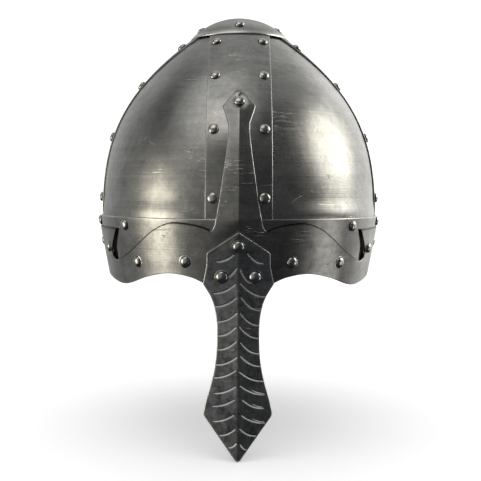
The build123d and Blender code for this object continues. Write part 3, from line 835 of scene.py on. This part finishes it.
def nasal_guard():
    edge_line = nasal_outline()
    edge_x, edge_z = np.array(edge_line).T
    lowest = edge_line[-1][1]
    rows = np.concatenate([35.6 - np.array([0.02, 0.1, 0.25, 0.5]),
                           np.arange(34.7, lowest + 1.1, -0.31),
                           lowest + np.array([0.8, 0.5, 0.25, 0.1, 0.02])])
    half = np.interp(-rows, -edge_z, edge_x)
    positive = np.unique(np.concatenate([np.linspace(0, 1, 34), [0.982, 0.990, 0.9955]]))
    share = np.concatenate([-positive[::-1][:-1], positive])
    x = half[:, None] * share[None]
    z = np.broadcast_to(rows[:, None], x.shape)
    flat = np.stack([x, z], -1).reshape(-1, 2)
    edge = loop_reach(flat, [both_halves(edge_line)]).reshape(x.shape)
    slope = 0.133 + 0.042 * (1 - smooth(z, -30, 6))
    fold = np.sqrt(x ** 2 + 1.0) - 1.0
    y = nasal_ridge(z) + slope * fold + 0.16 * (1 - np.exp(-(x / 1.6) ** 2))
    near = 1 - smooth(np.hypot(x, z - 26.3), 3.4, 6.4)
    y = y * (1 - near) + (nasal_ridge(z) + 0.32) * near
    base = np.stack([x, y, z], -1)
    waves = dents(base, (0.10, 15, 81), (0.05, 6, 82))
    strokes = arc_depths(x, z)
    outer_y = y + waves * smooth(edge, 0.3, 3) + 0.56 * strokes + rounding(edge, 0.45)
    outer = np.stack([x, outer_y, z], -1)
    inner = np.stack([x, y + NASAL_THICKNESS - 0.15, z], -1)
    points, faces = sheet_from_grid(outer, inner, flip=True)
    wear_and_shade = np.exp(-edge / 0.45)
    # strength of the painted highlight on the strokes, greater towards the tip
    chased = np.clip((strokes - 0.12) * 1.7, 0, 1) * (0.62 + 0.38 * smooth(-z, 5, 60))
    return make_object("visible_nasal_guard", points, faces, NASAL_STEEL,
                       ["nasal_guard"], wear_and_shade, chased)


# ---- Rivets ----

SHANK_RADIUS = 2.0
TAIL_RADIUS, TAIL_HEIGHT = 3.1, 0.5
SEAT = 0.02


def rivet_rings(grip, head, height, shank, tail, ringed):
    """The profile of a rivet from the top of its head down to its peened tail: (radius, height)."""
    dome = [(head * sin(a), 0.35 + (height - 0.35) * cos(a)) for a in np.linspace(0.12, pi / 2, 9)]
    rim = [(1.0, 0.16), (0.985, 0.04), (0.955, 0.0)]
    if ringed:
        rim = [(1.01, 0.12), (1.05, 0.09), (1.17, 0.07), (1.22, 0.03), (1.23, 0.0)]
    foot = [(head * share, level) for share, level in rim]
    end = -grip - 0.1
    peened = [(tail * share, end - TAIL_HEIGHT * depth)
              for share, depth in ((0.96, 0), (1, 0.35), (0.9, 0.8), (0.55, 1))]
    return dome + foot + [(shank, 0.0), (shank, end)] + peened


def ring_wear_and_shade(reach, level):
    """Bright on the crown and on the pressed ring round the head, with painted shade on the head's
    lower side and in the corner between.
    """
    if level > 0.6:
        return 0.3
    if reach > 1.1 and level >= 0:
        return 0.9
    # painted shade low on the head, where it meets the plate
    return -0.7 if level > 0.05 else 0.0


def rivets(node, places, grip, head=3.6, height=2.2, shank=SHANK_RADIUS, tail=TAIL_RADIUS, seed=1,
           ringed=False):
    """One row of rivets as one piece. places are (point, normal) pairs in millimetres."""
    steps = 28
    points, faces, wear_and_shade = [], [], []
    chance = np.random.default_rng(seed)
    for point, normal in places:
        tilt = Vector(normal).to_track_quat("Z", "Y").to_matrix()
        lean = Euler((chance.normal(0, 0.022), chance.normal(0, 0.022), chance.uniform(0, 6.28)))
        lean = lean.to_matrix()
        grow = 1 + chance.normal(0, 0.015)
        squash = 1 + chance.normal(0, 0.05)
        flat_spot = chance.uniform(0, 6.28)
        rings = rivet_rings(grip, head * grow, height * squash, shank, tail, ringed)
        first = len(points)
        for radius, level in rings:
            for s in range(steps):
                a = 2 * pi * s / steps
                r = radius * (1 + 0.012 * sin(2 * a + flat_spot) + 0.006 * sin(5 * a + 2 * flat_spot))
                lifted = level + SEAT if level >= 0 else level
                local = Vector((r * cos(a), r * sin(a), lifted))
                points.append(Vector(point) + tilt @ (lean @ local))
                wear_and_shade.append(ring_wear_and_shade(radius / head, level))
        for ring in range(len(rings) - 1):
            for s in range(steps):
                t = (s + 1) % steps
                a, b = first + ring * steps + s, first + ring * steps + t
                faces.append((a, a + steps, b + steps, b))
        top = len(points)
        points.append(Vector(point) + tilt @ (lean @ Vector((0, 0, height * squash * 1.003 + SEAT))))
        bottom = len(points)
        points.append(Vector(point) + tilt @ (lean @ Vector((0, 0, rings[-1][1] - 0.04))))
        wear_and_shade += [0.3, 0.0]
        last = first + (len(rings) - 1) * steps
        for s in range(steps):
            t = (s + 1) % steps
            faces.append((top, first + s, first + t))
            faces.append((bottom, last + t, last + s))
    return make_object("visible_" + node, np.array([tuple(p) for p in points]), faces,
                       RIVET_STEEL, [node], wear_and_shade)


def on_layer(turn, z, offset, profile=dome_half_width):
    point, normal = surface(turn, z, offset, profile, with_normal=True)
    return tuple(point), tuple(normal)


def both_sides(*turns):
    return [radians(side * turn) for turn in turns for side in (1, -1)]


BAND_NAMES = ("front", "left", "rear", "right")
BAND_RIVET_LEVELS = (57, 101.5, 139.5, 168)
BAND_RIVET_REACH = 16.5
CAP_RIVET_REACH = 29
LOW_RIVET_X, LOW_RIVET_Z = 10.7, 6.6
PETAL_TURNS = (20, 84, 122, 161)


def all_rivets():
    for quarter, name in enumerate(BAND_NAMES):
        places = [on_layer(float(turn_at(side * BAND_RIVET_REACH, z, quarter)), z, BAND[1])
                  for z in BAND_RIVET_LEVELS for side in (1, -1)]
        rivets(f"{name}_band_rivets", places, -DOME_PLATE[0], seed=10 + quarter)
    brow = [on_layer(turn, 38.5, BROW_BAND[1]) for turn in both_sides(48, 132)]
    brow += [on_layer(float(turn_at(side * 19, 39.8, quarter)), 39.8, BROW_BAND[1])
             for quarter in (1, 2, 3) for side in (1, -1)]
    rivets("brow_band_rivets", brow, BROW_BAND[1] - DOME_PLATE[0], seed=20)
    plate = [on_layer(turn, 14.2, FRONT_PLATE[1]) for turn in both_sides(42.2)]
    plate += [on_layer(turn, 22, FRONT_PLATE[1]) for turn in both_sides(64.2)]
    rivets("front_plate_rivets", plate, FRONT_PLATE[1] - HEADBAND[0], seed=21, ringed=True)
    petal = [on_layer(turn, 16.2, FRONT_PLATE[1]) for turn in both_sides(19.8)]
    petal += [on_layer(turn, 24, FRONT_PLATE[1]) for turn in both_sides(88)]
    rivets("front_petal_rivets", petal, FRONT_PLATE[1] - PETAL[0] + 1, seed=22, ringed=True)
    rim = [on_layer(turn, 16, BROW_BAND[1]) for turn in both_sides(122, 161)]
    rivets("rim_rivets", rim, BROW_BAND[1] - PETAL[0] + 1, seed=23)
    rivets("blade_rivet", [on_layer(0, BLADE_RIVET_Z, BLADE[1] + 0.3)], 4.1, seed=24)
    top = [((0, float(nasal_ridge(26.3)) + 0.28, 26.3), (0, -1, -0.21))]
    rivets("nasal_top_rivet", top, 6.4, head=3.7, height=2.3, seed=25, ringed=True)
    y = float(nasal_ridge(LOW_RIVET_Z)) + 0.133 * LOW_RIVET_X - 0.05
    low = [((side * LOW_RIVET_X, y, LOW_RIVET_Z), (side * 0.13, -1, -0.16)) for side in (1, -1)]
    rivets("nasal_low_rivets", low, 4.6, head=3.7, height=2.3, seed=26, ringed=True)
    cap = []
    rise = sqrt(CAP_RADIUS ** 2 - CAP_RIVET_REACH ** 2)
    for turn in (0, pi / 2, pi, 3 * pi / 2):
        normal = Vector((CAP_RIVET_REACH * sin(turn), -CAP_RIVET_REACH * cos(turn), rise)).normalized()
        cap.append((tuple(Vector((0, 0, CAP_CENTRE)) + normal * (CAP_RADIUS - 0.1)), tuple(normal)))
    rivets("crown_cap_rivets", cap, CAP_THICKNESS - DOME_PLATE[0] + 0.7, seed=27)
    level = float(liner_level(19))
    disc = [on_layer(turn, level, CROWN_DISC[1], liner_half_width) for turn in both_sides(*PETAL_TURNS)]
    rivets("liner_crown_rivets", disc, 4.0, head=2.4, height=1.0, shank=1.2, tail=2.4, seed=28)


# ---- Leather liner ----

def liner_headband():
    offset, end = HEADBAND[1], SHEET_END
    lower = [(x, max(z, 4)) for x, z in arches(4.5, offset)]
    notch_x = flat_x(18, 10, offset)
    lower = [(0, 12), (notch_x, 12)] + [p for p in lower if p[0] > notch_x]
    band_x = flat_x(22.7, 24, offset)
    half = lower + rounded_corner((lower[-1][0], 4), (end, 4), (end, 28.5), 3)
    half += rounded_corner((end, 4), (end, 28.5), (100, 28.5), 3)
    half += [(band_x, 28.5), (band_x, 21), (0, 21)]
    relief = relief_slot(offset)
    flat, triangles, edge = fill_outline([both_halves(half), relief, mirrored(relief)[::-1]], 4.0)
    turn, z, base = sheet_places(flat)
    waves = 0.10 * ripple(base, 18, 91)
    outer = surface(turn, z, HEADBAND[1] - 0.08 + np.minimum(waves, 0))
    inner = surface(turn, z, HEADBAND[0] + waves + rounding(edge, 0.8) * 0.9)
    points, faces = sheet_from_outline(flat, triangles, outer, inner)
    wear_and_shade = np.exp(-edge / 0.8)
    return make_object("visible_liner_headband", points, faces, LINER_LEATHER,
                       ["liner_headband"], [wear_and_shade, wear_and_shade])


STITCH_PITCH, STITCH_HALF, THREAD_RADIUS = 4.2, 1.3, 0.42
THREAD_LAYER = HEADBAND[0] - 0.22


def liner_stitches():
    """Two rows of thread along the headband: one follows the rim, one runs level near the top."""
    points, faces = [], []
    rim = [(x, z) for x, z in arches(7.0, HEADBAND[0]) if x > 24]
    end = pi * FLAT_RADIUS - 5
    places = []
    for side in (1, -1):
        x = 28.0
        while x < end:
            low = np.interp(x, [p[0] for p in rim], [p[1] for p in rim]) if x < rim[-1][0] else 7.0
            places += [(side * x, float(max(low, 7.0))), (side * x, 26.0)]
            x += STITCH_PITCH
    slots = [relief_slot(HEADBAND[0]), mirrored(relief_slot(HEADBAND[0]))]
    places = np.array(places)
    places = places[(loop_reach(places, slots) > 3.2) & ~inside_loops(places, slots)]
    for x, z in places:
        ahead = surface((x + STITCH_HALF) / FLAT_RADIUS, z, THREAD_LAYER)
        behind = surface((x - STITCH_HALF) / FLAT_RADIUS, z, THREAD_LAYER)
        middle, normal = surface(x / FLAT_RADIUS, z, THREAD_LAYER, with_normal=True)
        along = (ahead - behind) / np.linalg.norm(ahead - behind)
        up = np.cross(normal, along)
        first = len(points)
        for share in (-1, -0.8, -0.35, 0.35, 0.8, 1):
            thick = THREAD_RADIUS * sqrt(max(0.08, 1 - share ** 4))
            centre = middle + along * STITCH_HALF * share + normal * 0.45 * share ** 4
            points += [centre + (normal * sin(a) + up * cos(a)) * thick
                       for a in np.linspace(0, 2 * pi, 6, endpoint=False)]
        for ring in range(5):
            for k in range(6):
                a, b = first + ring * 6 + k, first + ring * 6 + (k + 1) % 6
                faces.append((a, b, b + 6, a + 6))
        faces.append(tuple(first + k for k in range(5, -1, -1)))
        faces.append(tuple(first + 30 + k for k in range(6)))
    return make_object("visible_liner_stitches", np.array(points), faces, THREAD, [])


def liner_petal(number, turn_degrees):
    """A leather tongue from the headband to the crown disc."""
    foot = 11.0
    levels = np.concatenate([np.linspace(foot, 100, 36), np.linspace(102, 120, 12),
                             [122, 123.8, 125.2, 126.2, 126.9, 127.2]])
    border = np.array([0.88, 0.95, 0.985, 1])
    share = np.concatenate([-border[::-1], np.linspace(-0.8, 0.8, 15), border])
    half_turn = radians(16)
    side = radians(turn_degrees)
    tip = smooth(levels, 118, 127)
    turn = half_turn * share[None] * (1 - 0.25 * tip[:, None])
    z = np.broadcast_to(levels[:, None], turn.shape).copy()
    if abs(turn_degrees) < 30:
        # the two front tongues keep clear of the eyebrow arches
        rim = 10.2 + 6.6 * np.exp(-((np.abs(np.degrees(side + turn)) - 27) / 12.0) ** 2)
        z += (rim - foot) * (1 - smooth(z, foot, foot + 22))
    edge = (1 - np.abs(share))[None] * half_turn * liner_half_width(z) * 1.05
    corner = smooth(np.abs(share), 0.55, 1.0)[None] * 5.0 * (1 - smooth(z, foot, foot + 14))
    z = z + corner
    base = surface(side + turn, z, 0, liner_half_width)
    belly = 0.9 * smooth(z, 34, 60) * (1 - smooth(z, 95, 118)) * (share[None] ** 2 - 0.3)
    waves = 0.25 * ripple(base, 30, 100 + number) * smooth(z, 30, 50) + belly
    waves *= 1 - 0.8 * tip[:, None]
    outer = surface(side + turn, z, PETAL[1] + waves - rounding(edge, 0.8) * 0.6, liner_half_width)
    inner = surface(side + turn, z, PETAL[0] + waves + rounding(edge, 0.8) * 0.6, liner_half_width)
    points, faces = sheet_from_grid(outer, inner)
    wear_and_shade = np.exp(-edge / 0.9)
    return make_object(f"visible_liner_petal_{number}", points, faces, LINER_LEATHER,
                       [f"liner_petal_{number}"], [wear_and_shade, wear_and_shade])


DISC_RADIUS = 26.5


def liner_crown_disc():
    """The leather disc where the tongues meet."""
    radius = DISC_RADIUS
    lip = np.array([2, 1.2, 0.7, 0.35, 0.12, 0])
    reach = np.concatenate([np.linspace(0.5, radius - 3, 18), radius - lip])
    levels = np.minimum(liner_level(reach), 127.6)
    r, t = np.meshgrid(reach, np.linspace(0, 2 * pi, 96, endpoint=False), indexing="ij")
    x, y = r * np.sin(t), -r * length_ratio(levels)[:, None] * np.cos(t)
    edge = radius - r
    top = levels[:, None] + (CROWN_DISC[1] - rounding(edge, 0.7))
    under = levels[:, None] + CROWN_DISC[0] + 0 * r
    points, faces = dish_from_rings(np.stack([x, y, top], -1), np.stack([x, y, under], -1))
    wear_and_shade = np.exp(-edge / 0.9)
    return make_object("visible_liner_crown_disc", points, faces, DISC_LEATHER,
                       ["liner_crown_disc"], [wear_and_shade, wear_and_shade])


# ---- Build ----

for side in (1, -1):
    for face in (-1, 1):
        dome_plate(side, face)
for quarter, label in enumerate(BAND_NAMES):
    vertical_band(quarter, label)
crown_cap()
brow_band()
front_plate()
nasal_guard()
all_rivets()
liner_headband()
liner_stitches()
for number, turn in enumerate([side * t for t in PETAL_TURNS for side in (1, -1)], 1):
    liner_petal(number, turn)
liner_crown_disc()


# ---- Floor, lights and camera ----

FLOOR_HALF, FLOOR_GAP = 6.0, 0.0006
CAMERA_LENS, CAMERA_SHIFT = 64.3659, 0.0039501
CAMERA_DISTANCE, CAMERA_HEIGHT = 0.666, 0.0233
CAMERA_PITCH, CAMERA_ROLL = radians(3.3), radians(0.3)


def plain(name, colour, rough):
    material = bpy.data.materials.new(name)
    material.use_nodes = True
    shader = material.node_tree.nodes["Principled BSDF"]
    shader.inputs["Base Color"].default_value = (*colour, 1)
    shader.inputs["Roughness"].default_value = rough
    return material


def floor():
    level = cad_box[0][2] - FLOOR_GAP
    corners = [(x * FLOOR_HALF, y * FLOOR_HALF, level) for x, y in ((-1, -1), (1, -1), (1, 1), (-1, 1))]
    mesh = bpy.data.meshes.new("floor")
    mesh.from_pydata(corners, [], [(0, 1, 2, 3)])
    mesh.materials.append(plain("pale floor", (0.93, 0.93, 0.93), 0.9))
    piece = bpy.data.objects.new("floor", mesh)
    bpy.context.scene.collection.objects.link(piece)
    piece.visible_glossy = False


# Soft panels all round the helmet: (azimuth from the front towards +X, elevation, half width where
# it is full, half width where it fades out, strength, colour), angles in degrees
PANELS = [
    (-76, -2, 5, 20, 3.7, (1.0, 0.94, 0.80)),
    (-74, -18, 5, 17, 2.1, (1.0, 0.95, 0.82)),
    (-66, 26, 8, 30, 0.22, (1.0, 0.98, 0.93)),
    (-44, 4, 27, 43, 0.25, (1.0, 0.985, 0.94)),
    (-122, 0, 10, 50, 0.24, (1.0, 1.0, 1.0)),
    (-25, 62, 3, 14, 1.05, (1.0, 0.95, 0.85)),
    (-50, 68, 15, 33, 0.85, (1.0, 1.0, 1.0)),
    (99, 25, 12, 26, 3.4, (1.0, 0.97, 0.90)),
    (86, -20, 6, 18, 1.4, (1.0, 0.985, 0.95)),
    (134, 10, 14, 38, 0.95, (1.0, 0.99, 0.97)),
    (150, 60, 10, 40, 0.28, (1.0, 1.0, 1.0)),
    (180, 20, 10, 60, 0.45, (1.0, 1.0, 1.0)),
]
DARK_ROOM = (0.021, 0.023, 0.028)


def studio():
    """White to the eye and to matte surfaces; steel mirrors a dark room with soft panels."""
    world = bpy.data.worlds.new("studio")
    bpy.context.scene.world = world
    world.use_nodes = True
    tree = world.node_tree
    tree.nodes.clear()

    def add(kind, inputs=(), **settings):
        return add_node(tree, kind, inputs, **settings)

    direction = add("ShaderNodeTexCoord").outputs["Generated"]
    total = None
    for azimuth, elevation, inner, outer, strength, colour in PANELS:
        a, e = radians(azimuth), radians(elevation)
        axis = (sin(a) * cos(e), -cos(a) * cos(e), sin(e))
        toward = add("ShaderNodeVectorMath", {0: direction, 1: axis}, operation="DOT_PRODUCT")
        toward = toward.outputs["Value"]
        share = add("ShaderNodeMapRange", {"Value": toward, "From Min": cos(radians(outer)),
                                           "From Max": cos(radians(inner))},
                    interpolation_type="SMOOTHSTEP").outputs["Result"]
        tint = tuple(strength * c for c in colour)
        total = add("ShaderNodeVectorMath", {0: share, 1: tint, 2: total or DARK_ROOM},
                    operation="MULTIPLY_ADD").outputs["Vector"]
    room = add("ShaderNodeBackground", {"Color": total, "Strength": 1.0})
    white = add("ShaderNodeBackground", {"Color": (1, 1, 1, 1), "Strength": 1.3})
    mirrored_ray = add("ShaderNodeLightPath").outputs["Is Glossy Ray"]
    choice = add("ShaderNodeMixShader", {0: mirrored_ray, 1: white.outputs[0], 2: room.outputs[0]})
    output = add("ShaderNodeOutputWorld")
    tree.links.new(choice.outputs[0], output.inputs["Surface"])


def camera():
    data = bpy.data.cameras.new("camera")
    data.sensor_width = 36
    data.lens = CAMERA_LENS
    data.shift_x = CAMERA_SHIFT
    lens = bpy.data.objects.new("camera", data)
    bpy.context.scene.collection.objects.link(lens)
    lens.location = (0, -CAMERA_DISTANCE * cos(CAMERA_PITCH),
                     CAMERA_HEIGHT + CAMERA_DISTANCE * sin(CAMERA_PITCH))
    roll = Matrix.Rotation(CAMERA_ROLL, 3, "Z")
    lens.rotation_euler = (Euler((pi / 2 - CAMERA_PITCH, 0, 0)).to_matrix() @ roll).to_euler()
    bpy.context.scene.camera = lens


floor()
studio()
camera()
bpy.context.scene.view_settings.view_transform = "Standard"
